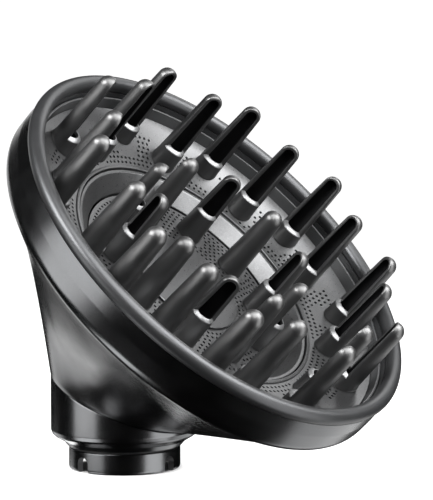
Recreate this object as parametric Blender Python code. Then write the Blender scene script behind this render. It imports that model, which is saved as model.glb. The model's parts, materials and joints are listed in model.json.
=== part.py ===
"""Hair-dryer diffuser: a tilted round bowl with hollow prongs on a vertical neck.

Origin: centre of the collar's bottom face. +Z runs up the neck; the dish leans towards +X.
Sizes are in millimetres and are turned into metres by MM. Dish parts are drawn about the dish
axis, with height 0 at the middle of the rim roll and negative heights below it.
"""
from math import cos, pi, radians, sin

import bmesh
import bpy
from mathutils import Matrix, Vector

MM = 0.001
GAP = 0.3                       # clearance between neighbouring pieces

# Driving dimensions
TILT = radians(46.6)            # dish axis, leaned from the neck axis towards +X
RIM_CENTRE = Vector((41.7, 0.0, 80.7))
RIM_RADIUS = 78.0               # outside of the rim roll
ROLL_RADIUS = 2.75
WALL_RADIUS = 77.7              # bowl band, outside
LINER_RADIUS = 72.8             # bowl liner, inside
RING_RADIUS = 71.7              # fixed wall ring inside the liner
CREASE = (71.0, -20.25)         # sharp edge where the bowl band meets the funnel
SLIDE_TRAVEL = 5.0              # how far the bowl slides up the dish axis; the wall ring stops it
FLANGE_HEIGHT = 2.25            # foot of the bowl band that grips the funnel's skirt

NECK_RADIUS = 26.0
NECK_BASE = 8.1
SEAM_HEIGHT = 25.5              # mitre plane between neck and funnel, on the neck axis
SEAM_SLOPE = 0.42               # drop of the mitre plane per unit of X: half the dish tilt
COLLAR_RADIUS = 19.7
COLLAR_HEIGHT = 7.4
BORE_RADIUS = 17.4              # a dryer barrel of about 34 mm goes in here
ARCH_ANGLES = (0, 101, 180, 259)

PLATE_INNER = 48.2
PLATE_INNER_HEIGHT = -15.1
PLATE_OUTER = 71.4
PLATE_RISE = 6.9                # the outer plate climbs this much from its inner to its outer edge
PLATE_CURVE = 1.35
PLATE_THICK = 1.4
CENTRE_TOP = -20.7              # top face of the centre plate
CENTRE_THICK = 1.5
CENTRE_RADIUS = 40.6
CAP_RADIUS = 21.4
FRAME_TOP = CENTRE_TOP - CENTRE_THICK - 0.4
FRAME_LOW = FRAME_TOP - 2.0
SCREW_CIRCLE = 19.4

OUTER_PRONGS = 20
OUTER_PHASE = 26.2              # degrees from the low side of the dish
OUTER_RADII = (63.2, 56.4)      # the outer prongs stand on two circles, turn and turn about
OUTER_TIP = 20.1
OUTER_LEDGE = -5.7
INNER_PRONGS = 10
INNER_PHASE = 26.0
INNER_RADIUS = 31.1
INNER_TIP = 8.1
INNER_LEDGE = -8.9
PRONG_FOOT = 5.0
PRONG_BODY = 4.5
PRONG_TOP = 3.5
PRONG_WALL = 1.1
PRONG_CUT = 1.0                 # the slot is cut back to this distance in front of the axis
SPOKE_PHASE = INNER_PHASE + 18.0    # the spokes run midway between inner prongs

RING_STEPS = 48                 # sides of the dish parts
NECK_STEPS = 36                 # sides of the small round parts
PRONG_STEPS = 8

FINISHES = {                    # colour, roughness, metallic
    "shell_grey": ((0.085, 0.087, 0.09), 0.32, 0.35),
    "lip_grey": ((0.16, 0.163, 0.168), 0.38, 0.35),
    "liner_black": ((0.03, 0.031, 0.033), 0.42, 0.1),
    "plate_silver": ((0.56, 0.565, 0.575), 0.36, 0.85),
    "prong_black": ((0.022, 0.022, 0.024), 0.4, 0.0),
    "inner_black": ((0.03, 0.03, 0.032), 0.55, 0.0),
    "seal_rubber": ((0.035, 0.035, 0.036), 0.75, 0.0),
    "screw_steel": ((0.55, 0.55, 0.56), 0.3, 1.0),
}


# Frame -------------------------------------------------------------------------------------
def clear_scene():
    for item in list(bpy.data.objects):
        bpy.data.objects.remove(item)


def make_material(slot):
    colour, roughness, metallic = FINISHES[slot]
    material = bpy.data.materials.new(slot)
    material.use_nodes = True
    shader = material.node_tree.nodes["Principled BSDF"]
    shader.inputs["Base Color"].default_value = (*colour, 1.0)
    shader.inputs["Roughness"].default_value = roughness
    shader.inputs["Metallic"].default_value = metallic
    return material


def make_dish_axis():
    """Empty whose +Z is the dish axis and whose origin is the rim centre."""
    axis = bpy.data.objects.new("dish_axis", None)
    axis.location = RIM_CENTRE * MM
    axis.rotation_euler = (0.0, TILT, 0.0)
    bpy.context.collection.objects.link(axis)
    return axis


def finish_mesh(name, mesh):
    """Face outwards, drop doubled points and shade round faces smooth."""
    work = bmesh.new()
    work.from_mesh(mesh)
    bmesh.ops.remove_doubles(work, verts=work.verts, dist=0.00001)
    bmesh.ops.recalc_face_normals(work, faces=work.faces)
    work.to_mesh(mesh)
    work.free()
    mesh.name = name
    mesh.shade_smooth()
    mesh.set_sharp_from_angle(angle=radians(35))
    return mesh


def add_object(name, mesh, slot, parent=None):
    item = bpy.data.objects.new(name, mesh)
    bpy.context.collection.objects.link(item)
    item.data.materials.clear()
    item.data.materials.append(materials[slot])
    item.parent = parent
    return item


# Mesh makers -------------------------------------------------------------------------------
def circle(radius, height, steps):
    """One ring of points about local Z; height is a number or a function of (x, y)."""
    ring = []
    for step in range(steps):
        angle = 2.0 * pi * step / steps
        x, y = radius * cos(angle), radius * sin(angle)
        z = height(x, y) if callable(height) else height
        ring.append(Vector((x, y, z)))
    return ring


def skin_rings(rings, closed):
    """Mesh through rings of equal count. A closed skin joins its last ring to its first; an
    open one gets a flat cap at each end."""
    work = bmesh.new()
    loops = [[work.verts.new(point * MM) for point in ring] for ring in rings]
    pairs = list(zip(loops, loops[1:] + loops[:1] if closed else loops[1:]))
    for low, high in pairs:
        count = len(low)
        for step in range(count):
            after = (step + 1) % count
            work.faces.new((low[step], low[after], high[after], high[step]))
    if not closed:
        work.faces.new(list(reversed(loops[0])))
        work.faces.new(loops[-1])
    mesh = bpy.data.meshes.new("skin")
    work.to_mesh(mesh)
    work.free()
    return mesh


def turned(name, profile, steps=RING_STEPS, closed=True):
    """Solid of revolution about local Z from (radius, height) points."""
    rings = [circle(radius, height, steps) for radius, height in profile]
    return finish_mesh(name, skin_rings(rings, closed))


def arc(centre, radius, start, end, steps):
    """Points of a round stretch of a profile, angles in degrees from the outward direction."""
    points = []
    for step in range(steps + 1):
        angle = radians(start + (end - start) * step / steps)
        points.append((centre[0] + radius * cos(angle), centre[1] + radius * sin(angle)))
    return points


def joined(parts):
    """One mesh from several (mesh, matrix) pairs whose bodies stay apart: a set of cutters."""
    work = bmesh.new()
    for mesh, matrix in parts:
        copy = mesh.copy()
        copy.transform(matrix)
        work.from_mesh(copy)
        bpy.data.meshes.remove(copy)
    mesh = bpy.data.meshes.new("joined")
    work.to_mesh(mesh)
    work.free()
    return mesh


def place(x, y):
    return Matrix.Translation(Vector((x, y, 0.0)) * MM)


def block(low, high):
    """Box between two corners, in millimetres."""
    work = bmesh.new()
    bmesh.ops.create_cube(work, size=1.0)
    size = Vector(high) - Vector(low)
    middle = (Vector(high) + Vector(low)) / 2.0
    for vert in work.verts:
        vert.co = Vector((vert.co[axis] * size[axis] + middle[axis] for axis in range(3))) * MM
    mesh = bpy.data.meshes.new("block")
    work.to_mesh(mesh)
    work.free()
    return mesh


def combined(name, body, tools, operation="DIFFERENCE"):
    """Result of EXACT Booleans of the tool meshes on the body mesh."""
    holder = bpy.data.objects.new("holder", body)
    bpy.context.collection.objects.link(holder)
    helpers = []
    for number, tool in enumerate(tools):
        helper = bpy.data.objects.new(f"tool_{number}", tool)
        helper.hide_render = True
        helper.display_type = "WIRE"
        bpy.context.collection.objects.link(helper)
        modifier = holder.modifiers.new(f"cut_{number}", "BOOLEAN")
        modifier.operation = operation
        modifier.solver = "EXACT"
        modifier.object = helper
        helpers.append(helper)
    view = bpy.context.evaluated_depsgraph_get()
    mesh = bpy.data.meshes.new_from_object(holder.evaluated_get(view))
    for item in [holder] + helpers:
        bpy.data.objects.remove(item)
    return finish_mesh(name, mesh)


def polar(radius, degrees):
    return radius * cos(radians(degrees)), radius * sin(radians(degrees))


# Neck and funnel ---------------------------------------------------------------------------
def seam_height(x, _y=0.0):
    return SEAM_HEIGHT - SEAM_SLOPE * x


def dish_point(radius, angle, height):
    """World point, in millimetres, from dish coordinates."""
    turn = Matrix.Rotation(TILT, 3, "Y")
    return RIM_CENTRE + turn @ Vector((radius * cos(angle), radius * sin(angle), height))


def make_collar():
    """Plug-on collar with a rounded foot, four arches and a spigot that goes up the neck."""
    spigot = NECK_BASE + 5.0
    profile = [
        (COLLAR_RADIUS - 0.9, 0.0), (COLLAR_RADIUS - 0.25, 0.3), (COLLAR_RADIUS, 1.0),
        (COLLAR_RADIUS, COLLAR_HEIGHT - 0.4), (COLLAR_RADIUS - 0.4, COLLAR_HEIGHT),
        (18.9, COLLAR_HEIGHT), (18.9, spigot), (17.9, spigot), (17.9, COLLAR_HEIGHT + 1.2),
        (BORE_RADIUS, COLLAR_HEIGHT + 1.2), (BORE_RADIUS, 0.4), (BORE_RADIUS + 0.3, 0.0),
    ]
    body = turned("collar_ring", profile, NECK_STEPS)
    cutters = []
    half_width, spring_height = 2.6, 2.9
    outline = [(-half_width, -1.0), (half_width, -1.0)]
    outline += arc((0.0, spring_height), half_width, 0, 180, 5)
    for degrees in ARCH_ANGLES:
        near = [Vector((14.0, y, z)) for y, z in outline]
        far = [Vector((24.0, y, z)) for y, z in outline]
        cutter = finish_mesh("arch", skin_rings([near, far], closed=False))
        cutter.transform(Matrix.Rotation(radians(degrees), 4, "Z"))
        cutters.append(cutter)
    mesh = combined("collar_ring", body, cutters)
    add_object("collar_ring", mesh, "shell_grey")


def make_seal():
    low = COLLAR_HEIGHT + 1.5
    profile = [(17.6, low), (17.6, low + 3.4), (17.0, low + 3.4), (16.7, low + 1.7), (17.0, low)]
    add_object("barrel_seal", turned("barrel_seal", profile, 24), "seal_rubber")


def make_neck():
    """Sleeve with a turned-in foot, a floor for the duct and a mitred top."""
    profile = [
        (19.2, NECK_BASE), (20.2, NECK_BASE), (21.6, 9.8), (24.5, 11.7), (25.7, 12.8),
        (NECK_RADIUS, 13.9), (NECK_RADIUS, seam_height), (24.0, seam_height), (24.0, 15.6),
        (23.2, 14.0), (19.2, 14.0),
    ]
    add_object("neck_sleeve", turned("neck_sleeve", profile), "shell_grey")


def make_duct():
    """Inner duct: the dryer's barrel slides in until the lip stops it."""
    def duct_top(x, _y):
        return 33.0 - SEAM_SLOPE * x

    profile = [
        (18.9, 13.5), (18.9, 14.3), (22.6, 14.3), (22.6, 15.8), (18.9, 15.8), (18.9, duct_top),
        (17.6, duct_top), (17.6, 24.0), (16.0, 23.0), (17.6, 22.0), (17.6, 13.5),
    ]
    add_object("inlet_duct", turned("inlet_duct", profile, NECK_STEPS), "inner_black")


def make_funnel():
    """Shell lofted from the mitred neck ring to the round dish, with the skirt the bowl slides
    on. Its wall is about 1.8 mm."""
    crease_radius, crease_height = CREASE
    skirt_top = crease_height + SLIDE_TRAVEL + FLANGE_HEIGHT
    skirt_inner = 69.4

    def mouth(radius, lift):
        return circle(radius, lambda x, y: seam_height(x) + GAP + lift * (1.0 + x / radius), RING_STEPS)

    def dish_ring(radius, height):
        return [dish_point(radius, 2.0 * pi * step / RING_STEPS, height) for step in range(RING_STEPS)]

    rings = [
        mouth(NECK_RADIUS + 0.15, 0.0),
        dish_ring(crease_radius, crease_height),
        dish_ring(crease_radius, skirt_top),
        dish_ring(skirt_inner, skirt_top),
        dish_ring(skirt_inner, crease_height + 1.9),
        mouth(24.2, 0.6),
    ]
    mesh = finish_mesh("funnel_body", skin_rings(rings, closed=True))
    add_object("funnel_body", mesh, "shell_grey")


# Bowl: slides on the funnel's skirt --------------------------------------------------------
def make_bowl(axis):
    top = -1.9
    flange = CREASE[0] + GAP
    flange_top = CREASE[1] + FLANGE_HEIGHT
    band = [
        (77.3, top), (WALL_RADIUS, -7.0), (WALL_RADIUS, -13.4), (76.6, -15.9),
        (flange + 0.25, -20.1), (flange, -19.6), (flange, flange_top), (75.6, -14.2), (75.7, top),
    ]
    add_object("bowl_band", turned("bowl_band", band), "shell_grey", axis)
    liner = [(73.8, top), (73.8, -15.2), (73.3, -15.2), (LINER_RADIUS, -14.2), (LINER_RADIUS, top)]
    add_object("bowl_liner", turned("bowl_liner", liner), "liner_black", axis)
    centre = (RIM_RADIUS - ROLL_RADIUS, 0.0)
    roll = arc(centre, ROLL_RADIUS, -36, 216, 8)
    add_object("rim_lip", turned("rim_lip", roll), "lip_grey", axis)


# Plates ------------------------------------------------------------------------------------
def make_wall_ring(axis):
    """Fixed ring that stands on the edge of the outer plate; the bowl slides round it."""
    outside, foot, foot_top, low = RING_RADIUS + 0.8, RING_RADIUS - 1.5, -10.5, -11.4
    profile = [
        (RING_RADIUS, -3.8), (RING_RADIUS, foot_top), (foot, foot_top), (foot, low),
        (outside, low), (outside, -3.8),
    ]
    add_object("wall_ring", turned("wall_ring", profile), "liner_black", axis)


def plate_height(radius):
    """Height of the outer plate's top face at a radius."""
    share = max(radius - PLATE_INNER, 0.0) / (PLATE_OUTER - PLATE_INNER)
    return PLATE_INNER_HEIGHT + PLATE_RISE * share ** PLATE_CURVE


def hole_tool(radius, x, y, low, high, steps=6):
    mesh = turned("hole", [(radius, low), (radius, high)], steps, closed=False)
    return mesh, place(x, y)


def outer_prong_places():
    for number in range(OUTER_PRONGS):
        degrees = OUTER_PHASE + 360.0 * number / OUTER_PRONGS
        yield number, degrees, OUTER_RADII[number % 2]


def inner_prong_places():
    for number in range(INNER_PRONGS):
        yield number, INNER_PHASE + 360.0 * number / INNER_PRONGS


def make_outer_plate(axis):
    """Dished ring with a bead round its inner edge, prong seats and groups of air holes."""
    stops = [56.0, 64.0, PLATE_OUTER]
    top = [(PLATE_INNER, PLATE_INNER_HEIGHT + 0.5), (49.6, PLATE_INNER_HEIGHT + 0.1)]
    top += [(radius, plate_height(radius)) for radius in stops]
    under = [(radius, plate_height(radius) - PLATE_THICK) for radius in reversed(stops)]
    under += [(PLATE_INNER, PLATE_INNER_HEIGHT - PLATE_THICK)]
    body = turned("outer_plate", top + under)
    tools = []
    for _number, degrees, radius in outer_prong_places():
        x, y = polar(radius, degrees)
        tools.append(hole_tool(3.7, x, y, -20.0, -5.0, 8))
    for group in range(OUTER_PRONGS // 2):
        middle = OUTER_PHASE + 36.0 * group
        for radius in (51.4, 54.8):
            x, y = polar(radius, middle)
            tools.append(hole_tool(1.2, x, y, -20.0, -5.0, 4))
    mesh = combined("outer_plate", body, [joined(tools)])
    add_object("outer_plate", mesh, "plate_silver", axis)


def make_channel(axis):
    """Conical wall that steps down from the outer plate to the centre plate."""
    profile = [
        (47.9, -15.3), (46.9, -15.5), (41.3, -20.4), (41.3, -22.3), (42.6, -22.3), (42.8, -21.0),
        (47.9, -16.7),
    ]
    add_object("channel_ring", turned("channel_ring", profile), "plate_silver", axis)


def make_centre_plate(axis):
    low = CENTRE_TOP - CENTRE_THICK
    profile = [(CENTRE_RADIUS, CENTRE_TOP), (CENTRE_RADIUS, low), (17.0, low), (17.0, CENTRE_TOP)]
    body = turned("centre_plate", profile)
    tools = []
    for number, degrees in inner_prong_places():
        x, y = polar(INNER_RADIUS, degrees)
        tools.append(hole_tool(3.7, x, y, -25.0, -18.0, 8))
        between = degrees + 180.0 / INNER_PRONGS
        for radius in (28.0, 32.0, 36.0):
            x, y = polar(radius, between)
            tools.append(hole_tool(1.2, x, y, -25.0, -18.0, 4))
        if number % 2 == 0:
            x, y = polar(SCREW_CIRCLE, between)
            tools.append(hole_tool(1.5, x, y, -25.0, -18.0, 6))
    mesh = combined("centre_plate", body, [joined(tools)])
    add_object("centre_plate", mesh, "plate_silver", axis)


def make_cap(axis):
    """Round centre cap with a plug that snaps into the centre plate."""
    under = CENTRE_TOP + GAP
    profile = [
        (8.0, -19.35), (16.0, -19.5), (CAP_RADIUS - 0.6, -19.8), (CAP_RADIUS, under + 0.25),
        (CAP_RADIUS - 0.1, under), (16.6, under), (16.6, -22.0), (15.4, -22.0),
    ]
    mesh = turned("centre_cap", list(reversed(profile)), 40, closed=False)
    add_object("centre_cap", mesh, "plate_silver", axis)


# Inside the plenum -------------------------------------------------------------------------
def make_frame(axis):
    """Five-spoked frame that carries the plates."""
    hub_profile = [(22.1, FRAME_TOP), (22.1, FRAME_LOW), (16.9, FRAME_LOW), (16.9, FRAME_TOP)]
    hub = turned("hub", hub_profile, 24)
    rim_profile = [(61.8, FRAME_TOP), (61.8, FRAME_LOW), (59.4, FRAME_LOW), (59.4, FRAME_TOP)]
    rim = turned("rim", rim_profile, 40)
    spokes = []
    screws = []
    for number in range(5):
        degrees = SPOKE_PHASE + 72.0 * number
        spoke = block((20.6, -1.6, FRAME_LOW + 0.1), (60.5, 1.6, FRAME_TOP - 0.1))
        spoke.transform(Matrix.Rotation(radians(degrees), 4, "Z"))
        spokes.append(spoke)
        x, y = polar(SCREW_CIRCLE, degrees)
        screws.append(hole_tool(1.5, x, y, -30.0, -18.0))
    solid = combined("plate_frame", hub, [rim] + spokes, "UNION")
    mesh = combined("plate_frame", solid, [joined(screws)])
    add_object("plate_frame", mesh, "inner_black", axis)


def make_screws(axis):
    """Five identical screws, heads under the frame, shanks up into the centre plate."""
    seat = FRAME_LOW - GAP
    profile = [(2.4, seat - 1.3), (2.4, seat), (1.2, seat), (1.2, CENTRE_TOP - 0.3)]
    screw = turned("frame_screw", profile, 8, closed=False)
    for number in range(5):
        x, y = polar(SCREW_CIRCLE, SPOKE_PHASE + 72.0 * number)
        item = add_object(f"frame_screw_{number + 1}", screw, "screw_steel", axis)
        item.location = Vector((x, y, 0.0)) * MM


def make_deflector(axis):
    """Hollow cone on the dish axis that spreads the air out to the plates."""
    top = FRAME_TOP
    profile = [
        (16.6, top), (16.6, FRAME_LOW), (11.4, -33.0), (2.6, -43.0), (1.2, -43.0), (10.0, -32.4),
        (15.3, FRAME_LOW + 0.3), (15.3, top),
    ]
    add_object("air_deflector", turned("air_deflector", profile, 24), "inner_black", axis)


# Prongs ------------------------------------------------------------------------------------
def prong_mesh(name, seat, ledge, tip):
    """Tapered hollow prong about local Z. The slot side is -X: above the ledge the front of the
    wall is cut away, so the air leaves there. seat(x) is the height of the plate under it."""
    steps = PRONG_STEPS
    floor = seat(0.0)
    shoulder = tip - PRONG_TOP

    def foot(x, _y):
        return seat(x) + GAP

    outer = [
        circle(3.3, floor - 2.6, steps), circle(3.3, foot, steps), circle(PRONG_FOOT, foot, steps),
        circle(PRONG_BODY + 0.2, floor + 2.2, steps), circle(PRONG_TOP, shoulder, steps),
        circle(PRONG_TOP * cos(radians(35)), shoulder + PRONG_TOP * sin(radians(35)), steps),
        circle(PRONG_TOP * cos(radians(68)), shoulder + PRONG_TOP * sin(radians(68)), steps),
    ]
    body = finish_mesh(name, skin_rings(outer, closed=False))
    inside = PRONG_TOP - PRONG_WALL
    hollow = [(2.6, floor - 3.6), (2.9, ledge), (inside, shoulder), (inside * 0.6, shoulder + inside * 0.8)]
    cavity = turned("cavity", hollow, steps, closed=False)
    front = block((-9.0, -9.0, ledge), (-PRONG_CUT, 9.0, tip + 4.0))
    return combined(name, body, [cavity, front])


def stand_prong(name, mesh, radius, degrees, turn, axis):
    item = add_object(name, mesh, "prong_black", axis)
    x, y = polar(radius, degrees)
    item.location = Vector((x, y, 0.0)) * MM
    item.rotation_euler = (0.0, 0.0, radians(degrees + turn))


def make_prongs(axis):
    meshes = []
    for radius in OUTER_RADII:
        def seat(x, centre=radius):
            return plate_height(centre + x)

        meshes.append(prong_mesh(f"prong_at_{radius:.0f}", seat, OUTER_LEDGE, OUTER_TIP))
    for number, degrees, radius in outer_prong_places():
        name = f"outer_prong_{number + 1:02d}"
        stand_prong(name, meshes[number % 2], radius, degrees, 0.0, axis)
    inner = prong_mesh("inner_prong", lambda x: CENTRE_TOP, INNER_LEDGE, INNER_TIP)
    for number, degrees in inner_prong_places():
        turn = 180.0 if number % 2 == 0 else 0.0
        stand_prong(f"inner_prong_{number + 1:02d}", inner, INNER_RADIUS, degrees, turn, axis)


clear_scene()
materials = {slot: make_material(slot) for slot in FINISHES}
dish_axis = make_dish_axis()
make_collar()
make_seal()
make_neck()
make_duct()
make_funnel()
make_bowl(dish_axis)
make_wall_ring(dish_axis)
make_outer_plate(dish_axis)
make_channel(dish_axis)
make_centre_plate(dish_axis)
make_cap(dish_axis)
make_frame(dish_axis)
make_screws(dish_axis)
make_deflector(dish_axis)
make_prongs(dish_axis)
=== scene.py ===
"""Looks of the hair-dryer diffuser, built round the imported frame.

Sizes are in millimetres and are turned into metres by MM. Dish parts are drawn in dish
coordinates: +X runs to the dish's low side, +Y to the far side and +Z out of the dish, with
height 0 at the middle of the rim roll.
"""
import json
from math import acos, atan2, ceil, cos, hypot, pi, radians, sin, tan

import bmesh
import bpy
from mathutils import Matrix, Vector
from mathutils.geometry import delaunay_2d_cdt


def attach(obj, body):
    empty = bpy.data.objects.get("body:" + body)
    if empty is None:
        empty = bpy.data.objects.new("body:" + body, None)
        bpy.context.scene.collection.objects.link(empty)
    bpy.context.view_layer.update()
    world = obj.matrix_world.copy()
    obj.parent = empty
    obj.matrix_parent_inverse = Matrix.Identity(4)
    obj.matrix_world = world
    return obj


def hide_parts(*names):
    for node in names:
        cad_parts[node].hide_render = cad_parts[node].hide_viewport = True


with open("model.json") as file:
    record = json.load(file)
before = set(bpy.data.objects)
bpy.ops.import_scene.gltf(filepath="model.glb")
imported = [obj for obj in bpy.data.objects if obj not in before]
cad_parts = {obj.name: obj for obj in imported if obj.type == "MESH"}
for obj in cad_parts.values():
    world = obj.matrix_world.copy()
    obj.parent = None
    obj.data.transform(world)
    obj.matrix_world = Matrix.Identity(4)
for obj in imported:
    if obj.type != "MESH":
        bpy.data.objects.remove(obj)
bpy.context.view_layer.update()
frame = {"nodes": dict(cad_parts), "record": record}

MM = 0.001

# Neck
NECK_RADIUS = 26.0
NECK_BASE = 8.1
SEAM_HEIGHT = 25.5
SEAM_SLOPE = 0.42
COLLAR_RADIUS = 19.7
COLLAR_HEIGHT = 7.4
BORE_RADIUS = 17.4
ARCH_ANGLES = (0, 101, 180, 259)
ARCH_HALF_WIDTH = 2.6
ARCH_SPRING = 2.9
FLARE = 0.6                    # how far the funnel's walls bend from straight to upright
FLARE_START = 105.0            # degrees from the low side within which they bend fully
FLARE_END = 150.0              # degrees beyond which they are straight

# Bowl
RIM_RADIUS = 78.0
ROLL_RADIUS = 2.75
WALL_RADIUS = 77.7
LINER_RADIUS = 72.8
RING_RADIUS = 71.7
CREASE_RADIUS = 71.0
CREASE_HEIGHT = -20.25

# Plates
PLATE_INNER = 48.2
PLATE_INNER_HEIGHT = -15.1
PLATE_OUTER = 71.4
PLATE_RISE = 6.9
PLATE_CURVE = 1.35
PLATE_THICK = 1.4
CENTRE_TOP = -20.7
CENTRE_THICK = 1.5
CENTRE_RADIUS = 40.6
CENTRE_BORE = 17.0
CAP_RADIUS = 21.4
HOLE_RADIUS = 0.56
HOLE_SIDES = 8
HOLE_PITCH = 1.95              # from row to row
HOLE_SPACING = 2.15            # along a row
FOOT_HOLE = 3.7                # radius of the hole under each prong
FOOT_SIDES = 24
FOOT_CLEAR = 6.0               # no fine hole lies nearer than this to a prong's axis

# Prongs
OUTER_PRONGS = 20
OUTER_PHASE = 26.2
OUTER_RADII = (63.2, 56.4)
OUTER_TIP = 20.1
OUTER_LEDGE = -5.7
INNER_PRONGS = 10
INNER_PHASE = 26.0
INNER_RADIUS = 31.1
INNER_TIP = 8.1
INNER_LEDGE = -8.9
PRONG_FOOT = 5.0
PRONG_BODY = 4.75
PRONG_TOP = 3.5
PRONG_WALL = 1.1
PRONG_BORE = 3.0               # bore radius at the foot of the slot
PRONG_CUT = 1.0                # the slot is cut back to this distance in front of the axis
PRONG_EDGE = 0.17
SILL_DROP = 0.9
BACK_COLUMNS = 26
FRONT_COLUMNS = 16
BODY_ROWS = 8
DOME_ROWS = 9

ROUND_STEPS = 192


# Places ------------------------------------------------------------------------------------
def find_dish():
    """Matrix from dish coordinates, in metres, to the world, from the joint and the rim."""
    axis = Vector(frame["record"]["behaviour"]["joints"][0]["axis"]).normalized()
    points = [vertex.co for vertex in frame["nodes"]["rim_lip"].data.vertices]
    middle = sum(points, Vector()) / len(points)
    top = max(axis.dot(point) for point in points)
    origin = middle + axis * (top - ROLL_RADIUS * MM - axis.dot(middle))
    side = Vector((0.0, 1.0, 0.0))
    down = side.cross(axis).normalized()
    rows = zip(down, side, axis, origin)
    return Matrix([list(row) for row in rows] + [[0.0, 0.0, 0.0, 1.0]])


DISH = find_dish()
NECK = Matrix.Identity(4)


def plate_height(radius):
    """Height of the outer plate's top, which rises ever more steeply towards its edge."""
    share = max(radius - PLATE_INNER, 0.0) / (PLATE_OUTER - PLATE_INNER)
    return PLATE_INNER_HEIGHT + PLATE_RISE * share ** PLATE_CURVE


def seam_height(x):
    """World height of the seam between the sleeve and the funnel."""
    return SEAM_HEIGHT - SEAM_SLOPE * x


# Materials ---------------------------------------------------------------------------------
class Recipe:
    """A node tree under construction, with short calls for the nodes used here."""

    def __init__(self, name):
        self.material = bpy.data.materials.new(name)
        self.material.use_nodes = True
        self.tree = self.material.node_tree
        self.shader = self.tree.nodes["Principled BSDF"]
        self.place = self.add("ShaderNodeTexCoord").outputs["Object"]

    def add(self, kind):
        return self.tree.nodes.new(kind)

    def link(self, source, target):
        self.tree.links.new(source, target)

    def noise(self, size_mm, detail=3.0):
        node = self.add("ShaderNodeTexNoise")
        node.inputs["Scale"].default_value = 1.0 / (size_mm * MM)
        node.inputs["Detail"].default_value = detail
        self.link(self.place, node.inputs["Vector"])
        return node.outputs["Fac"]

    def cells(self, size_mm):
        node = self.add("ShaderNodeTexVoronoi")
        node.inputs["Scale"].default_value = 1.0 / (size_mm * MM)
        self.link(self.place, node.inputs["Vector"])
        return node.outputs["Distance"]

    def spread(self, source, low, high):
        """Map 0.3..0.7, where most of a noise lies, to low..high."""
        node = self.add("ShaderNodeMapRange")
        node.inputs["From Min"].default_value = 0.3
        node.inputs["From Max"].default_value = 0.7
        node.inputs["To Min"].default_value = low
        node.inputs["To Max"].default_value = high
        self.link(source, node.inputs["Value"])
        return node.outputs["Result"]

    def beyond(self, near_mm, far_mm):
        """0 within the near distance of the origin, 1 beyond the far one."""
        length = self.add("ShaderNodeVectorMath")
        length.operation = "LENGTH"
        self.link(self.place, length.inputs[0])
        node = self.add("ShaderNodeMapRange")
        node.interpolation_type = "SMOOTHSTEP"
        node.inputs["From Min"].default_value = near_mm * MM
        node.inputs["From Max"].default_value = far_mm * MM
        self.link(length.outputs["Value"], node.inputs["Value"])
        return node.outputs["Result"]

    def times(self, first, second):
        node = self.add("ShaderNodeMath")
        node.operation = "MULTIPLY"
        self.link(first, node.inputs[0])
        self.link(second, node.inputs[1])
        return node.outputs["Value"]

    def colour(self, base, shade):
        """Base colour, brightened or darkened by shade, a value round 1."""
        node = self.add("ShaderNodeVectorMath")
        node.operation = "SCALE"
        node.inputs[0].default_value = base
        self.link(shade, node.inputs["Scale"])
        self.link(node.outputs["Vector"], self.shader.inputs["Base Color"])

    def roughness(self, source):
        self.link(source, self.shader.inputs["Roughness"])

    def bump(self, layers):
        """Stack of (height, strength, depth in mm) on the shader's normal."""
        normal = None
        for height, strength, depth in layers:
            node = self.add("ShaderNodeBump")
            node.inputs["Strength"].default_value = strength
            node.inputs["Distance"].default_value = depth * MM
            self.link(height, node.inputs["Height"])
            if normal is not None:
                self.link(normal, node.inputs["Normal"])
            normal = node.outputs["Normal"]
        self.link(normal, self.shader.inputs["Normal"])

    def set(self, name, value):
        self.shader.inputs[name].default_value = value


def painted_shell(name, base, roughness, metallic):
    """Satin metallic lacquer on moulded plastic: fine flake, faint orange peel, rub marks."""
    recipe = Recipe(name)
    flake = recipe.spread(recipe.cells(0.12), 0.94, 1.06)
    cloud = recipe.spread(recipe.noise(22.0), 0.95, 1.05)
    recipe.colour(base, recipe.times(flake, cloud))
    recipe.roughness(recipe.spread(recipe.noise(9.0, 5.0), roughness - 0.025, roughness + 0.025))
    recipe.bump([(recipe.noise(1.6, 2.0), 0.05, 0.02), (recipe.noise(0.25, 2.0), 0.03, 0.006)])
    recipe.set("Metallic", metallic)
    return recipe.material


def moulded_plastic(name, base, roughness, grain_mm=0.35, depth=0.012, specular=0.5, ior=1.5):
    """Plain moulded plastic with a spark-eroded grain."""
    recipe = Recipe(name)
    cloud = recipe.spread(recipe.noise(14.0), 0.88, 1.12)
    grain = recipe.spread(recipe.noise(grain_mm, 2.0), 0.93, 1.07)
    recipe.colour(base, recipe.times(cloud, grain))
    recipe.roughness(recipe.spread(recipe.noise(5.0, 4.0), roughness - 0.04, roughness + 0.04))
    recipe.bump([(recipe.noise(grain_mm, 3.0), 0.25, depth)])
    recipe.set("Specular IOR Level", specular)
    recipe.set("IOR", ior)
    return recipe.material


def sprayed_silver(name, base, roughness):
    """Silver paint with a coarse sparkle, a little duller in places."""
    recipe = Recipe(name)
    sparkle = recipe.spread(recipe.noise(0.32, 4.0), 0.84, 1.16)
    cloud = recipe.spread(recipe.noise(12.0), 0.95, 1.05)
    recipe.colour(base, recipe.times(sparkle, cloud))
    recipe.roughness(recipe.spread(recipe.noise(0.6, 3.0), roughness - 0.06, roughness + 0.06))
    recipe.bump([(recipe.noise(0.35, 3.0), 0.3, 0.012)])
    recipe.set("Metallic", 0.9)
    return recipe.material


def seal_rubber(name):
    recipe = Recipe(name)
    bloom = recipe.spread(recipe.noise(3.0, 5.0), 0.8, 1.25)
    recipe.colour((0.035, 0.035, 0.036), bloom)
    recipe.roughness(recipe.spread(recipe.noise(1.2), 0.7, 0.85))
    recipe.bump([(recipe.noise(0.2, 3.0), 0.4, 0.02)])
    return recipe.material


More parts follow.
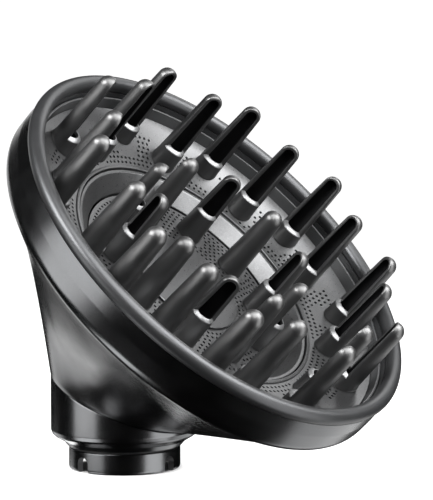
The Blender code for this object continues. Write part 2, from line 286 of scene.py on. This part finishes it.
def screw_steel(name):
    """Turned steel: fine rings from the lathe."""
    recipe = Recipe(name)
    rings = recipe.add("ShaderNodeTexWave")
    rings.wave_type = "RINGS"
    rings.inputs["Scale"].default_value = 1.0 / (1.5 * MM)
    rings.inputs["Distortion"].default_value = 2.0
    recipe.link(recipe.place, rings.inputs["Vector"])
    recipe.colour((0.55, 0.55, 0.56), recipe.spread(recipe.noise(0.8), 0.85, 1.1))
    recipe.roughness(recipe.spread(rings.outputs["Fac"], 0.24, 0.36))
    recipe.bump([(rings.outputs["Fac"], 0.15, 0.01)])
    recipe.set("Metallic", 1.0)
    return recipe.material


SHELL = painted_shell("shell_grey", (0.115, 0.117, 0.12), 0.235, 1.0)
LIP = painted_shell("lip_grey", (0.05, 0.051, 0.053), 0.38, 0.75)
LINER = moulded_plastic("liner_black", (0.02, 0.0205, 0.0215), 0.38)
SILVER = sprayed_silver("plate_silver", (0.11, 0.111, 0.113), 0.33)
PRONG = moulded_plastic("prong_black", (0.007, 0.007, 0.0073), 0.42, grain_mm=0.3, depth=0.006,
                        specular=0.9, ior=1.6)
# Darker, rougher, less shiny plastic on the prongs' inside faces: painted shade that deepens the
# shade inside the slots.
PAINTED_SHADE_INSIDE = moulded_plastic("prong_inside_painted_shade", (0.004, 0.004, 0.0045), 0.75, grain_mm=0.3, depth=0.01,
                         specular=0.15)
SILL = painted_shell("sill_silver", (0.2, 0.202, 0.205), 0.38, 0.7)
WALL = moulded_plastic("wall_grey", (0.05, 0.051, 0.0525), 0.38)
INNER = moulded_plastic("inner_black", (0.025, 0.025, 0.027), 0.55, grain_mm=0.5, depth=0.02)
RUBBER = seal_rubber("seal_rubber")
STEEL = screw_steel("screw_steel")


# Mesh makers -------------------------------------------------------------------------------
def finish(name, work, material, body, node, matrix, sharp=38.0):
    """Turn a bmesh drawn in millimetres into a piece that stands for a CAD node."""
    bmesh.ops.remove_doubles(work, verts=work.verts, dist=0.001)
    bmesh.ops.recalc_face_normals(work, faces=work.faces)
    work.transform(matrix @ Matrix.Scale(MM, 4))
    mesh = bpy.data.meshes.new(name)
    work.to_mesh(mesh)
    work.free()
    mesh.shade_smooth()
    mesh.set_sharp_from_angle(angle=radians(sharp))
    mesh.materials.append(material)
    piece = bpy.data.objects.new(name, mesh)
    bpy.context.collection.objects.link(piece)
    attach(piece, body)
    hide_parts(node)
    return piece


def rounded(outline, steps=4, guard=0.25):
    """Closed outline from (radius, height[, corner radius]) points. Each rounded corner becomes
    an arc, with a guard point on either side that keeps the faces beside it flat in shading."""
    points = []
    count = len(outline)
    for number, entry in enumerate(outline):
        corner = Vector(entry[:2])
        fillet = entry[2] if len(entry) > 2 else 0.0
        if fillet == 0.0:
            points.append(corner)
            continue
        before = Vector(outline[number - 1][:2]) - corner
        after = Vector(outline[(number + 1) % count][:2]) - corner
        half = before.angle(after) / 2.0
        reach = min(fillet / tan(half), 0.48 * before.length, 0.48 * after.length)
        radius = reach * tan(half)
        inward = (before.normalized() + after.normalized()).normalized()
        centre = corner + inward * (radius / sin(half))
        start = corner + before.normalized() * reach - centre
        end = corner + after.normalized() * reach - centre
        spare = min(before.length, after.length) - reach
        lead = min(guard, 0.4 * spare)
        points.append(centre + start + before.normalized() * lead)
        turn = start.angle_signed(end)
        for step in range(steps + 1):
            angle = -turn * step / steps
            points.append(centre + Matrix.Rotation(angle, 2) @ start)
        points.append(centre + end + after.normalized() * lead)
    return points


def arc(centre, radius, start, end, steps):
    """Points of a round stretch of an outline, angles in degrees from the outward direction."""
    points = []
    for step in range(steps + 1):
        angle = radians(start + (end - start) * step / steps)
        points.append((centre[0] + radius * cos(angle), centre[1] + radius * sin(angle)))
    return points


def skin(work, rings, closed):
    """Faces through rings of equal count; closed joins the last ring to the first."""
    loops = [[work.verts.new(point) for point in ring] for ring in rings]
    pairs = list(zip(loops, loops[1:] + loops[:1] if closed else loops[1:]))
    for low, high in pairs:
        count = len(low)
        for step in range(count):
            after = (step + 1) % count
            work.faces.new((low[step], low[after], high[after], high[step]))
    return loops


def turned(outline, steps=ROUND_STEPS, height=None):
    """bmesh of revolution about local Z; height(x, y, h) may shift each point."""
    work = bmesh.new()
    rings = []
    for radius, level in outline:
        ring = []
        for step in range(steps):
            angle = 2.0 * pi * step / steps
            x, y = radius * cos(angle), radius * sin(angle)
            z = level if height is None else height(x, y, level)
            ring.append(Vector((x, y, z)))
        rings.append(ring)
    skin(work, rings, closed=True)
    return work


# Neck and shells ---------------------------------------------------------------------------
def cut_away(work, cutters):
    """bmesh with the cutter bmeshes taken off by exact Booleans."""
    holder_mesh = bpy.data.meshes.new("holder")
    bmesh.ops.recalc_face_normals(work, faces=work.faces)
    work.to_mesh(holder_mesh)
    work.free()
    holder = bpy.data.objects.new("holder", holder_mesh)
    bpy.context.collection.objects.link(holder)
    helpers = []
    for cutter in cutters:
        mesh = bpy.data.meshes.new("cutter")
        bmesh.ops.recalc_face_normals(cutter, faces=cutter.faces)
        cutter.to_mesh(mesh)
        cutter.free()
        helper = bpy.data.objects.new("cutter", mesh)
        bpy.context.collection.objects.link(helper)
        modifier = holder.modifiers.new("cut", "BOOLEAN")
        modifier.operation = "DIFFERENCE"
        modifier.solver = "EXACT"
        modifier.object = helper
        helpers.append(helper)
    view = bpy.context.evaluated_depsgraph_get()
    result = bmesh.new()
    result.from_mesh(holder.evaluated_get(view).data)
    for item in [holder] + helpers:
        bpy.data.objects.remove(item)
    return result


def make_collar():
    """Plug-on collar: rounded foot, round-topped arches cut through it, and a spigot up the neck.
    """
    spigot = NECK_BASE + 5.0
    outline = rounded([
        (COLLAR_RADIUS, 0.0, 1.1), (COLLAR_RADIUS, COLLAR_HEIGHT, 0.35), (18.9, COLLAR_HEIGHT),
        (18.9, spigot, 0.2), (17.9, spigot, 0.2), (17.9, COLLAR_HEIGHT + 1.2),
        (BORE_RADIUS, COLLAR_HEIGHT + 1.2, 0.2), (BORE_RADIUS, 0.0, 0.35),
    ])
    cutters = []
    profile = [(-ARCH_HALF_WIDTH, -1.0), (ARCH_HALF_WIDTH, -1.0)]
    profile += arc((0.0, ARCH_SPRING), ARCH_HALF_WIDTH, 0, 180, 16)
    for degrees in ARCH_ANGLES:
        cutter = bmesh.new()
        near = [Vector((14.0, y, z)) for y, z in profile]
        far = [Vector((24.0, y, z)) for y, z in profile]
        loops = skin(cutter, [near, far], closed=False)
        cutter.faces.new(list(reversed(loops[0])))
        cutter.faces.new(loops[1])
        cutter.transform(Matrix.Rotation(radians(degrees), 4, "Z"))
        cutters.append(cutter)
    work = cut_away(turned(outline, 144), cutters)
    piece = finish("collar_ring_fine", work, SHELL, "root", "collar_ring", NECK)
    piece.data.materials.append(INNER)
    lacquered = COLLAR_RADIUS - 0.6    # radius beyond which the faces have the shell's finish
    for face in piece.data.polygons:
        if hypot(face.center.x, face.center.y) < lacquered * MM:
            face.material_index = 1


def make_neck():
    """Sleeve with a turned-in foot in two chamfers and a slanting seam at its top."""
    top = 100.0                # stands for the seam, which slants

    def slanting(x, _y, level):
        return seam_height(x) + (level - top) if level > top / 2.0 else level

    outline = rounded([
        (20.1, NECK_BASE, 0.25), (21.6, 9.8, 0.3), (24.6, 11.6, 0.3), (25.4, 12.3, 0.3),
        (NECK_RADIUS, 13.7, 0.5), (NECK_RADIUS, top, 0.22), (24.0, top), (24.0, 15.6),
        (23.2, 14.0), (19.2, 14.0), (19.2, NECK_BASE),
    ])
    work = turned(outline, ROUND_STEPS, slanting)
    finish("neck_sleeve_fine", work, SHELL, "root", "neck_sleeve", NECK)


def make_funnel():
    """Shell from the slanting seam to the round dish, with the skirt the bowl slides on. It
    leaves the seam steeply and flares towards the dish, most of all on the low side."""
    to_dish = NECK.inverted() @ DISH
    gap, rows, inner_rows = 0.3, 30, 12
    skirt_top, skirt_inner, neck_inner = -13.0, 69.4, 24.2
    proud = 0.15               # the funnel stands a little proud of the sleeve

    def mouth(radius, lift):
        ring = []
        for step in range(ROUND_STEPS):
            angle = 2.0 * pi * step / ROUND_STEPS
            x, y = radius * cos(angle), radius * sin(angle)
            ring.append(Vector((x, y, seam_height(x) + gap + lift)))
        return ring

    def dish_ring(radius, height):
        ring = []
        for step in range(ROUND_STEPS):
            angle = 2.0 * pi * step / ROUND_STEPS
            point = Vector((radius * cos(angle), radius * sin(angle), height)) * MM
            ring.append((to_dish @ point) / MM)
        return ring

    def flared(first, second, share):
        ring = []
        for step, (low, high) in enumerate(zip(first, second)):
            side = abs((360.0 * step / ROUND_STEPS + 180.0) % 360.0 - 180.0)
            ease = min(max((FLARE_END - side) / (FLARE_END - FLARE_START), 0.0), 1.0)
            flare = FLARE * ease * ease * (3.0 - 2.0 * ease)
            middle = low.lerp(high, 0.5)
            upright = Vector((low.x, low.y, middle.z))
            bend = middle.lerp(upright, flare)
            ring.append(low.lerp(bend, share).lerp(bend.lerp(high, share), share))
        return ring

    low = mouth(NECK_RADIUS + proud, 0.0)
    high = dish_ring(CREASE_RADIUS, CREASE_HEIGHT)
    rings = [mouth(NECK_RADIUS - 0.3, -0.05), mouth(NECK_RADIUS + proud - 0.06, 0.0)]
    rings += [flared(low, high, (row + 0.1) / rows) for row in range(rows)]
    # Rings close to the crease on either side keep the faces beside it flat in shading.
    rings += [flared(low, high, 0.994)]
    rings += [dish_ring(CREASE_RADIUS - 0.02, CREASE_HEIGHT - 0.02)]
    rings += [dish_ring(CREASE_RADIUS, CREASE_HEIGHT + 0.14)]
    rings += [dish_ring(CREASE_RADIUS, skirt_top - 0.3), dish_ring(CREASE_RADIUS - 0.3, skirt_top)]
    rings += [dish_ring(skirt_inner + 0.2, skirt_top), dish_ring(skirt_inner, skirt_top - 0.2)]
    inner_high = dish_ring(skirt_inner, CREASE_HEIGHT + 1.9)
    inner_low = mouth(neck_inner, 0.5)
    for row in range(inner_rows + 1):
        rings.append(flared(inner_low, inner_high, 1.0 - row / inner_rows))
    work = bmesh.new()
    skin(work, rings, closed=True)
    finish("funnel_body_fine", work, SHELL, "root", "funnel_body", NECK)


def make_band():
    """Outer band of the bowl: near-upright wall, tight corner, straight chamfer to the crease."""
    top, flange = -1.9, CREASE_RADIUS + 0.3
    foot = CREASE_HEIGHT + 0.15
    outline = rounded([
        (77.3, top), (WALL_RADIUS, -7.0, 6.0), (WALL_RADIUS, -14.6, 5.0), (flange + 0.1, foot, 0.3),
        (flange, -18.0), (75.6, -14.2), (75.7, top),
    ], 8)
    finish("bowl_band_fine", turned(outline), SHELL, "bowl", "bowl_band", DISH)


def make_lip():
    """Full round roll on the rim."""
    centre = (RIM_RADIUS - ROLL_RADIUS, 0.0)
    roll = arc(centre, ROLL_RADIUS, -42, 222, 40)
    finish("rim_lip_fine", turned(roll), LIP, "bowl", "rim_lip", DISH)


def make_liner():
    """Dark inner wall of the bowl, which slides with the band."""
    outline = rounded([
        (73.8, -1.9), (73.8, -15.2, 0.2), (LINER_RADIUS, -15.2, 0.4), (LINER_RADIUS, -1.9),
    ])
    finish("bowl_liner_fine", turned(outline), LINER, "bowl", "bowl_liner", DISH)


def make_wall_ring():
    """Fixed wall that stands on the edge of the outer plate, inside the liner."""
    outside, foot = RING_RADIUS + 0.8, RING_RADIUS - 1.5
    outline = rounded([
        (RING_RADIUS, -3.8, 0.25), (RING_RADIUS, -10.5, 0.2), (foot, -10.5, 0.15),
        (foot, -11.4, 0.15), (outside, -11.4, 0.15), (outside, -3.8, 0.15),
    ])
    finish("wall_ring_fine", turned(outline), WALL, "root", "wall_ring", DISH)


# Plates ------------------------------------------------------------------------------------
def polar(radius, degrees):
    return Vector((radius * cos(radians(degrees)), radius * sin(radians(degrees))))


def outer_places():
    """(number, degrees, radius) of each outer prong."""
    for number in range(OUTER_PRONGS):
        yield number, OUTER_PHASE + 360.0 * number / OUTER_PRONGS, OUTER_RADII[number % 2]


def inner_places():
    """(number, degrees, radius) of each inner prong."""
    for number in range(INNER_PRONGS):
        yield number, INNER_PHASE + 360.0 * number / INNER_PRONGS, INNER_RADIUS


def staggered_rows(first, pitch, count, spacing):
    """Centres of holes on concentric rows, every other row turned by half a step."""
    for row in range(count):
        radius = first + pitch * row
        holes = round(2.0 * pi * radius / spacing / 10.0) * 10
        for step in range(holes):
            yield row, radius, 360.0 * (step + 0.5 * (row % 2)) / holes


def clear_of(point, feet):
    """Whether a fine hole may lie at this point."""
    return all((point - foot).length > FOOT_CLEAR for foot in feet)


def ring_points(radius, count):
    return [polar(radius, 360.0 * step / count) for step in range(count)]


def perforated(outer, inner, holes, fill, height, thick):
    """Sheet between two circles with round holes, as a bmesh in dish coordinates. fill gives the
    radii of the rings of points that carry the sheet's curve."""
    points, loops = [], []
    spacing, margin = 2.4, 0.35    # of the filling points, and between them and a hole

    def add_loop(loop):
        start = len(points)
        points.extend(loop)
        loops.append(range(start, len(points)))

    add_loop(ring_points(outer, ROUND_STEPS))
    add_loop(ring_points(inner, ROUND_STEPS))
    for centre, radius, sides in holes:
        turn = atan2(centre.y, centre.x)
        ring = [centre + Vector((cos(a), sin(a))) * radius
                for a in (turn + 2.0 * pi * (side + 0.5) / sides for side in range(sides))]
        add_loop(ring)
    for radius in fill:
        for point in ring_points(radius, int(ceil(2.0 * pi * radius / spacing))):
            if all((point - centre).length > size + margin for centre, size, _sides in holes):
                points.append(point)
    edges = []
    for loop in loops:
        edges += [(loop[step], loop[(step + 1) % len(loop)]) for step in range(len(loop))]
    verts, _edges, faces, origin, _eo, _fo = delaunay_2d_cdt(points, edges, [], 0, 1e-5)
    owner = {}
    for number, loop in enumerate(loops):
        for index in loop:
            owner[index] = number
    work = bmesh.new()
    top = [work.verts.new((v.x, v.y, height(v.length))) for v in verts]
    low = [work.verts.new((v.x, v.y, height(v.length) - thick)) for v in verts]
    for face in faces:
        rings = {owner.get(origin[index][0] if origin[index] else None) for index in face}
        if len(rings) == 1 and rings != {None} and rings != {0}:
            continue                # all its corners are on one inner edge, so it fills a hole
        corners = [verts[index] for index in face]
        if sum(corners, Vector((0.0, 0.0))).length / 3.0 > outer:
            continue
        work.faces.new([top[index] for index in face])
        work.faces.new([low[index] for index in reversed(face)])
    upper = set(top)
    rims = [edge for edge in work.edges if edge.is_boundary and edge.verts[0] in upper]
    pair = dict(zip(top, low))
    for edge in rims:
        first, second = edge.verts
        work.faces.new((first, second, pair[second], pair[first]))
    loose = [vert for vert in work.verts if not vert.link_faces]
    bmesh.ops.delete(work, geom=loose, context="VERTS")
    return work


def make_outer_plate():
    """Dished ring: a bead round its inner edge, staggered rows of holes near it, and a band of
    holes that runs outwards between each pair of prongs."""
    feet = [polar(radius, degrees) for _number, degrees, radius in outer_places()]
    holes = [(foot, FOOT_HOLE, FOOT_SIDES) for foot in feet]
    middles = [degrees + 180.0 / OUTER_PRONGS for _number, degrees, _radius in outer_places()]
    full_rows, half_band = 2, 3.6
    for row, radius, degrees in staggered_rows(51.2, HOLE_PITCH, 7, HOLE_SPACING):
        centre = polar(radius, degrees)
        off = min(abs((degrees - middle + 180.0) % 360.0 - 180.0) for middle in middles)
        in_band = radians(off) * radius < half_band
        if clear_of(centre, feet) and (row < full_rows or in_band):
            holes.append((centre, HOLE_RADIUS, HOLE_SIDES))
    fill = [PLATE_INNER + 1.9 + 2.4 * step for step in range(9)]
    inner = PLATE_INNER + 1.3
    work = perforated(PLATE_OUTER, inner, holes, fill, plate_height, PLATE_THICK)
    finish("outer_plate_fine", work, SILVER, "root", "outer_plate", DISH, 30.0)
    level = PLATE_INNER_HEIGHT
    bead = rounded([
        (PLATE_INNER, level + 0.55, 0.25), (PLATE_INNER + 1.15, level + 0.55, 0.3),
        (inner + 0.15, level + 0.1), (inner + 0.15, level - 1.3, 0.2),
        (PLATE_INNER, level - 1.3, 0.2),
    ])
    finish("outer_plate_bead", turned(bead), SILVER, "root", "outer_plate", DISH)


def make_channel():
    """Conical step from the outer plate down to the centre plate."""
    outline = rounded([
        (47.9, -15.2, 0.3), (46.6, -15.45, 0.7), (41.3, -20.3, 0.5), (41.3, -22.3, 0.2),
        (42.6, -22.3, 0.2), (42.8, -21.0, 0.3), (47.9, -16.7, 0.2),
    ], 6)
    finish("channel_ring_fine", turned(outline), SILVER, "root", "channel_ring",
           DISH)


def make_centre_plate():
    """Flat sheet with staggered rows of holes between the hub cap and the channel."""
    feet = [polar(radius, degrees) for _number, degrees, radius in inner_places()]
    holes = [(foot, FOOT_HOLE, FOOT_SIDES) for foot in feet]
    for _row, radius, degrees in staggered_rows(23.2, HOLE_PITCH, 9, HOLE_SPACING):
        centre = polar(radius, degrees)
        if clear_of(centre, feet):
            holes.append((centre, HOLE_RADIUS, HOLE_SIDES))
    work = perforated(CENTRE_RADIUS, CENTRE_BORE, holes, [19.0], lambda _radius: CENTRE_TOP,
                      CENTRE_THICK)
    finish("centre_plate_fine", work, SILVER, "root", "centre_plate", DISH, 30.0)


def make_cap():
    """Domed hub cap with a plug."""
    under = CENTRE_TOP + 0.3
    outline = [(0.02, -19.3)]
    outline += [(radius, -19.3 - 0.5 * (radius / CAP_RADIUS) ** 2) for radius in (6.0, 12.0, 17.0)]
    outline += rounded([
        (CAP_RADIUS - 0.1, -19.8, 0.45), (CAP_RADIUS, under, 0.08), (16.6, under, 0.0),
        (16.6, -22.0, 0.2), (15.4, -22.0, 0.2), (15.4, under - 0.6, 0.0), (0.02, under - 0.6, 0.0),
    ])
    finish("centre_cap_fine", turned(outline, 120), SILVER, "root", "centre_cap",
           DISH)


# Prongs ------------------------------------------------------------------------------------
def prong_arc(radius, level, steps, start, end):
    """Points round the prong's axis at one level, start to end in radians from +X."""
    points = []
    for step in range(steps + 1):
        angle = start + (end - start) * step / steps
        points.append(Vector((radius * cos(angle), radius * sin(angle), level)))
    return points


def cut_half(radius):
    """Half the angle that stays at the back when the front is cut off at -PRONG_CUT."""
    return acos(-PRONG_CUT / radius)


def cut_dome(radius, shoulder):
    """Rows over a round tip of which the front is cut off: each lies in a plane that turns about
    the chord where the cut meets the shoulder, from level to upright."""
    rows = []
    width = (radius ** 2 - PRONG_CUT ** 2) ** 0.5
    for step in range(1, DOME_ROWS + 1):
        tilt = radians(90.0 * step / DOME_ROWS)
        centre = PRONG_CUT * cos(tilt)
        round_radius = (radius ** 2 - (PRONG_CUT * sin(tilt)) ** 2) ** 0.5
        limit = atan2(width, -centre)
        row = []
        for column in range(BACK_COLUMNS + 1):
            angle = limit * (2.0 * column / BACK_COLUMNS - 1.0)
            out = centre + round_radius * cos(angle)
            row.append(Vector((-PRONG_CUT + out * cos(tilt), round_radius * sin(angle),
                               shoulder + out * sin(tilt))))
        rows.append(row)
    return rows


def prong_shape(seat, ledge, tip):
    """Radii and levels shared by a prong's body and its sill."""
    floor = seat(0.0)
    base = ledge - SILL_DROP
    shoulder = tip - PRONG_TOP
    waist = floor + 2.4

    def outer(level):
        share = (level - waist) / (shoulder - waist)
        return PRONG_BODY + (PRONG_TOP - PRONG_BODY) * share

    def inner(level):
        share = (level - base) / (shoulder - base)
        return PRONG_BORE + (PRONG_TOP - PRONG_WALL - PRONG_BORE) * share

    return floor, base, shoulder, outer, inner


def prong_bmesh(seat, ledge, tip):
    """Hollow prong about local Z whose slot faces -X. Up to the base of the slot it is a whole
    tube; above it only the back goes on, to a closed round tip with softened edges."""
    floor, base, shoulder, outer, inner = prong_shape(seat, ledge, tip)
    work = bmesh.new()
    half_out, half_in = cut_half(outer(base)), cut_half(inner(base))

    def whole(radius, level, half, lift=None):
        ring = prong_arc(radius, level, BACK_COLUMNS, -half, half)
        ring += prong_arc(radius, level, FRONT_COLUMNS, half, 2.0 * pi - half)[1:-1]
        if lift is not None:
            ring = [Vector((point.x, point.y, seat(point.x) + lift)) for point in ring]
        return [work.verts.new(point) for point in ring]

    def quads(rows, joined, inside):
        for low, high in zip(rows, rows[1:]):
            count = len(low)
            for step in range(count if joined else count - 1):
                after = (step + 1) % count
                face = work.faces.new((low[step], low[after], high[after], high[step]))
                # Inside faces take the second material, the painted shade of the slots.
                face.material_index = 1 if inside else 0

    tube = [
        whole(3.2, floor - 2.6, half_out), whole(3.3, floor - 2.4, half_out),
        whole(3.3, 0.0, half_out, 0.25), whole(PRONG_FOOT - 0.1, 0.0, half_out, 0.08),
        whole(PRONG_FOOT, 0.0, half_out, 0.2), whole(PRONG_FOOT - 0.02, 0.0, half_out, 0.7),
        whole(PRONG_FOOT - 0.14, 0.0, half_out, 1.3), whole(PRONG_BODY, floor + 2.5, half_out),
        whole(outer(base - 0.2), base - 0.2, half_out), whole(outer(base), base, half_out),
    ]
    bore = [
        whole(2.5, floor - 2.6, half_in), whole(2.6, floor, half_in),
        whole(inner(base), base - 0.3, half_in), whole(inner(base), base, half_in),
    ]
    quads(tube, True, False)
    quads(bore, True, True)
    quads([tube[0], bore[0]], True, False)

    def back(radius_at):
        rows = []
        for row in range(1, BODY_ROWS + 1):
            level = base + 1.6 + (shoulder - base - 1.6) * (row - 1) / (BODY_ROWS - 1)
            radius = radius_at(level)
            half = cut_half(radius)
            rows.append(prong_arc(radius, level, BACK_COLUMNS, -half, half))
        rows += cut_dome(radius_at(shoulder), shoulder)
        return [[work.verts.new(point) for point in row] for row in rows]

    sides = []
    for ring, radius_at, inside in ((tube[-1], outer, False), (bore[-1], inner, True)):
        rows = [ring[:BACK_COLUMNS + 1]] + back(radius_at)
        quads(rows, False, inside)
        upright, last = rows[:BODY_ROWS + 1], rows[-1]
        sides.append([row[0] for row in upright] + last[1:-1] + [row[-1] for row in upright[::-1]])
    strips = []
    for number, (outside, inside) in enumerate(zip(*sides)):
        proud = 0.0 if number in (0, len(sides[0]) - 1) else PRONG_EDGE
        way = (inside.co - outside.co).normalized() * PRONG_EDGE
        front = Vector((-proud, 0.0, 0.0))
        strips.append([outside, work.verts.new(outside.co + way + front),
                       work.verts.new(inside.co - way + front), inside])
    quads(strips, False, False)

    start = BACK_COLUMNS
    columns = [*range(start, start + FRONT_COLUMNS), 0]
    ledges = []
    for column in columns:
        outside, inside = tube[-1][column], bore[-1][column]
        way = (inside.co - outside.co).normalized() * PRONG_EDGE
        ledges.append([outside, work.verts.new(outside.co + way),
                       work.verts.new(inside.co - way), inside])
    quads(ledges, False, False)
    return work


def sill_bmesh(seat, ledge, tip):
    """Crescent sill at the foot of the slot, sloping outwards and down."""
    _floor, base, _shoulder, outer, inner = prong_shape(seat, ledge, tip)
    wide, narrow = outer(base), inner(base)
    half_out, half_in = cut_half(wide), cut_half(narrow)
    outside = prong_arc(wide, base, FRONT_COLUMNS, half_out, 2.0 * pi - half_out)
    inside = prong_arc(narrow, base, FRONT_COLUMNS, half_in, 2.0 * pi - half_in)
    section = (
        (0.0, 0.02), (0.0, 0.14), (0.03, 0.3), (0.1, 0.42), (0.3, 0.68), (0.5, 0.9), (0.7, 1.1),
        (0.88, 1.24), (0.95, 1.22), (1.0, 1.1), (1.0, 0.02),
    )
    work = bmesh.new()
    rows = []
    for low, high in zip(outside, inside):
        rows.append([work.verts.new(low.lerp(high, share) + Vector((0.0, 0.0, lift)))
                     for share, lift in section])
    for low, high in zip(rows, rows[1:]):
        for step in range(len(section)):
            after = (step + 1) % len(section)
            work.faces.new((low[step], low[after], high[after], high[step]))
    work.faces.new(rows[0])
    work.faces.new(rows[-1][::-1])
    return work


def make_prongs():
    """All prongs with their sills. The inner ones face in and out by turns."""

    def place(name, seat, ledge, tip, radius, degrees, turn):
        spot = polar(radius, degrees)
        local = Matrix.Translation(Vector((spot.x, spot.y, 0.0)) * MM)
        local = DISH @ local @ Matrix.Rotation(radians(degrees + turn), 4, "Z")
        body = prong_bmesh(seat, ledge, tip)
        piece = finish(name + "_fine", body, PRONG, "root", name, local, 50.0)
        # Second material: painted shade on the prongs' inside faces.
        piece.data.materials.append(PAINTED_SHADE_INSIDE)
        sill = sill_bmesh(seat, ledge, tip)
        finish(name + "_sill", sill, SILL, "root", name, local, 50.0)

    for number, degrees, radius in outer_places():
        place(f"outer_prong_{number + 1:02d}", lambda x, r=radius: plate_height(r + x),
              OUTER_LEDGE, OUTER_TIP, radius, degrees, 0.0)
    for number, degrees, radius in inner_places():
        turn = 180.0 if number % 2 == 0 else 0.0
        place(f"inner_prong_{number + 1:02d}", lambda _x: CENTRE_TOP,
              INNER_LEDGE, INNER_TIP, radius, degrees, turn)


# Carried nodes -----------------------------------------------------------------------------
def dress(node, material):
    item = frame["nodes"][node]
    item.data.materials.clear()
    item.data.materials.append(material)


def dress_inner_parts():
    """Finishes for the nodes that are shown as the frame carries them."""
    for node in ("inlet_duct", "plate_frame", "air_deflector"):
        dress(node, INNER)
    dress("barrel_seal", RUBBER)
    for number in range(1, 6):
        dress(f"frame_screw_{number}", STEEL)


# Studio ------------------------------------------------------------------------------------
CAMERA_TURN = 34.5             # degrees round from -Y towards +X
CAMERA_LIFT = 3.27
CAMERA_DISTANCE = 633.3
CAMERA_TARGET = Vector((39.4, 0.0, 78.0))
CAMERA_LENS = 134.2


def towards(turn, lift):
    """Unit vector from the object, turn degrees round from the camera (right positive)."""
    angle = radians(CAMERA_TURN + turn)
    rise = radians(lift)
    return Vector((sin(angle) * cos(rise), -cos(angle) * cos(rise), sin(rise)))


def aim(item, direction, distance):
    """Put an item at a distance from the camera's target, facing that target."""
    item.location = (CAMERA_TARGET + direction * distance) * MM
    item.rotation_euler = direction.to_track_quat("Z", "Y").to_euler()


def make_camera():
    data = bpy.data.cameras.new("camera")
    data.lens = CAMERA_LENS
    data.clip_start = 0.01
    camera = bpy.data.objects.new("camera", data)
    bpy.context.collection.objects.link(camera)
    aim(camera, towards(0.0, CAMERA_LIFT), CAMERA_DISTANCE)
    bpy.context.scene.camera = camera


def softbox(name, turn, lift, distance, width, height, power):
    """Area light facing the object: angles in degrees, sizes in millimetres, power in watts."""
    data = bpy.data.lights.new(name, "AREA")
    data.shape = "RECTANGLE"
    data.size = width * MM
    data.size_y = height * MM
    data.energy = power
    light = bpy.data.objects.new(name, data)
    bpy.context.collection.objects.link(light)
    aim(light, towards(turn, lift), distance)
    light.visible_camera = False


def make_floor():
    """Pale sweep: floor that curves up into a wall behind the object. Only the camera sees it,
    so that the shells mirror the dark room and the softboxes. Its glow is left out under the
    collar: a painted contact shadow, which also keeps it from showing white through the arches."""
    work = bmesh.new()
    size, reach, bend, wall, steps = 4000.0, 1500.0, 700.0, 2600.0, 16
    back = -towards(0.0, 0.0)
    side = Vector((-back.y, back.x, 0.0))
    path = [Vector((-size, 0.0)), Vector((reach, 0.0))]
    for step in range(1, steps + 1):
        angle = radians(90.0 * step / steps)
        path.append(Vector((reach + bend * sin(angle), bend * (1.0 - cos(angle)))))
    path.append(Vector((reach + bend, wall)))
    rows = []
    for point in path:
        rows.append([work.verts.new((back * point.x + side * across + Vector((0, 0, point.y))) * MM)
                     for across in (-size, size)])
    for low, high in zip(rows, rows[1:]):
        work.faces.new((low[0], low[1], high[1], high[0]))
    mesh = bpy.data.meshes.new("floor")
    work.to_mesh(mesh)
    work.free()
    mesh.shade_smooth()
    recipe = Recipe("floor_white")
    recipe.colour((0.4, 0.4, 0.4), recipe.spread(recipe.noise(400.0), 0.99, 1.01))
    recipe.set("Roughness", 0.9)
    recipe.set("Specular IOR Level", 0.1)
    recipe.set("Emission Color", (1.0, 1.0, 1.0, 1.0))
    # No glow within reach of the collar: a painted contact shadow on the floor.
    recipe.link(recipe.beyond(COLLAR_RADIUS - 3.0, COLLAR_RADIUS + 2.0),
                recipe.shader.inputs["Emission Strength"])
    mesh.materials.append(recipe.material)
    floor = bpy.data.objects.new("floor", mesh)
    bpy.context.collection.objects.link(floor)
    floor.visible_glossy = False
    floor.visible_diffuse = False
    floor.visible_shadow = False


def make_lights():
    """Softboxes round the object. The first five light the prongs, plates and lip; the strips and
    the low ones are what the dark shells mirror."""
    softbox("key", 78.0, 36.0, 600.0, 480.0, 400.0, 7.5)
    softbox("key_front", 25.0, 30.0, 600.0, 240.0, 240.0, 1.6)
    softbox("top", 26.0, 59.0, 650.0, 480.0, 400.0, 5.0)
    softbox("back", 148.0, 38.0, 700.0, 300.0, 420.0, 1.0)
    softbox("side_soft", -50.0, 38.0, 600.0, 400.0, 240.0, 7.0)
    softbox("strip_left", -63.0, -1.0, 700.0, 480.0, 350.0, 1.9)
    softbox("strip_left_low", -76.0, -47.0, 700.0, 380.0, 200.0, 0.9)
    softbox("strip_right", 66.0, -18.0, 700.0, 540.0, 1000.0, 5.2)
    softbox("bounce", 131.0, -46.0, 700.0, 520.0, 460.0, 1.1)
    softbox("back_low", -150.0, 4.0, 700.0, 600.0, 240.0, 0.45)
    softbox("funnel_left", -139.0, -25.0, 700.0, 320.0, 240.0, 0.3)
    softbox("funnel_right", -161.0, -32.0, 700.0, 90.0, 140.0, 0.14)


def make_world():
    """White room for the camera, dim for everything it lights."""
    world = bpy.data.worlds.new("studio")
    bpy.context.scene.world = world
    world.use_nodes = True
    tree = world.node_tree
    shade = tree.nodes["Background"]
    shade.inputs["Color"].default_value = (1.0, 1.0, 1.0, 1.0)
    path = tree.nodes.new("ShaderNodeLightPath")
    level = tree.nodes.new("ShaderNodeMapRange")
    level.inputs["To Min"].default_value = 0.002
    level.inputs["To Max"].default_value = 1.0
    tree.links.new(path.outputs["Is Camera Ray"], level.inputs["Value"])
    tree.links.new(level.outputs["Result"], shade.inputs["Strength"])


make_camera()
make_collar()
make_neck()
make_funnel()
make_band()
make_lip()
make_liner()
make_wall_ring()
make_outer_plate()
make_channel()
make_centre_plate()
make_cap()
make_prongs()
dress_inner_parts()
make_floor()
make_lights()
make_world()
bpy.context.scene.view_settings.view_transform = "Standard"
